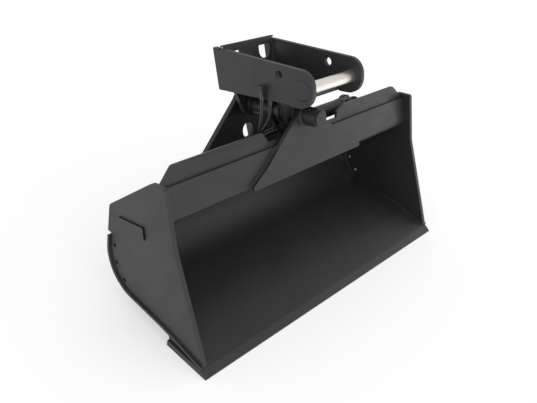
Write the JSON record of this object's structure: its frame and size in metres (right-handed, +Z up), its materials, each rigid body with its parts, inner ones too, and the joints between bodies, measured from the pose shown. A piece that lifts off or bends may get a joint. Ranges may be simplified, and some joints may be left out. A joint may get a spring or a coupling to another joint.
{
  "type": "tilt ditching bucket",
  "caption": "Wide excavator ditching bucket with a straight cutting edge and a quick-hitch adapter head that a hydraulic cylinder tilts sideways.",
  "frame": {"origin": "middle of the underside of the cutting edge, on which the bucket rests level", "axes": "+Z up, +X along the cutting edge to the bucket's right as seen from behind the blade looking to the rear wall, +Y from the blade to the rear wall"},
  "size_m": [1.6, 0.7993, 0.9773],
  "materials": {
    "paint": "satin",
    "bright_shaft": "polished",
    "plated_steel": "satin",
    "bronze": "machined",
    "hose_rubber": "matte"
  },
  "bodies": {
    "bucket": {"cutting_edge": "paint", "lip_backing": "paint", "bottom_shell": "paint", "rear_panel": "paint", "front_beam": "paint", "guard_plate_left": "paint", "guard_plate_right": "paint", "side_plate_left": "paint", "side_plate_right": "paint", "wear_runners": "paint", "front_ear": "paint", "rear_ear": "paint", "rear_gussets": "paint", "front_pivot_boss": "paint", "rear_pivot_boss": "paint", "cylinder_bracket": "paint", "pivot_pin": "plated_steel", "pin_retainer": "plated_steel", "base_pin": "plated_steel", "relief_valve_block": "plated_steel", "relief_cartridges": "plated_steel", "valve_hose_ends": "plated_steel", "badge_plate": "paint", "supply_hose_side": "hose_rubber", "supply_hose_base": "hose_rubber", "cylinder_hose_front": "hose_rubber", "cylinder_hose_rear": "hose_rubber"},
    "head": {"head_side_plate_left": "paint", "head_side_plate_right": "paint", "head_base_plate": "paint", "head_rear_wall": "paint", "coupler_shaft": "bright_shaft", "shaft_end_rings": "paint", "hub_tube": "paint", "front_pivot_bush": "bronze", "rear_pivot_bush": "bronze", "head_front_lug": "paint", "head_rear_lug": "paint", "hub_web": "paint", "lever_plate_front": "paint", "lever_plate_rear": "paint", "lever_pin": "plated_steel", "side_line_block": "paint", "head_hose_ends": "plated_steel", "supply_couplings": "plated_steel"},
    "cylinder": {"cylinder_tube": "paint", "cylinder_gland": "paint", "cylinder_base": "paint", "base_eye_bush": "bronze", "front_port": "plated_steel", "rear_port": "plated_steel", "cylinder_hose_ends": "plated_steel"},
    "rod": {"piston_rod": "bright_shaft", "rod_eye": "paint", "rod_eye_bush": "bronze"}
  },
  "joints": [
    {"name": "tilt", "type": "hinge", "parent": "bucket", "child": "head", "pos_m": [0, 0.1895, 0.741], "axis": [0, 0.9677, -0.2521], "range_deg": [-40, 40], "deforming": ["supply_hose_side", "supply_hose_base"]},
    {"name": "cylinder_swing", "type": "hinge", "parent": "bucket", "child": "cylinder", "pos_m": [0.487, 0.37865, 0.61423], "axis": [0, 0.9677, -0.2521], "range_deg": [-2.8, 2.8], "deforming": ["cylinder_hose_front", "cylinder_hose_rear"]},
    {"name": "rod_slide", "type": "slide", "parent": "cylinder", "child": "rod", "axis": [-1, 0, 0], "range_m": [-0.054, 0.054]}
  ],
  "couplings": [
    {"joint": "cylinder_swing", "follows": "tilt", "ratio": -0.061002},
    {"joint": "rod_slide", "follows": "tilt", "m_per_rad": 0.075}
  ]
}
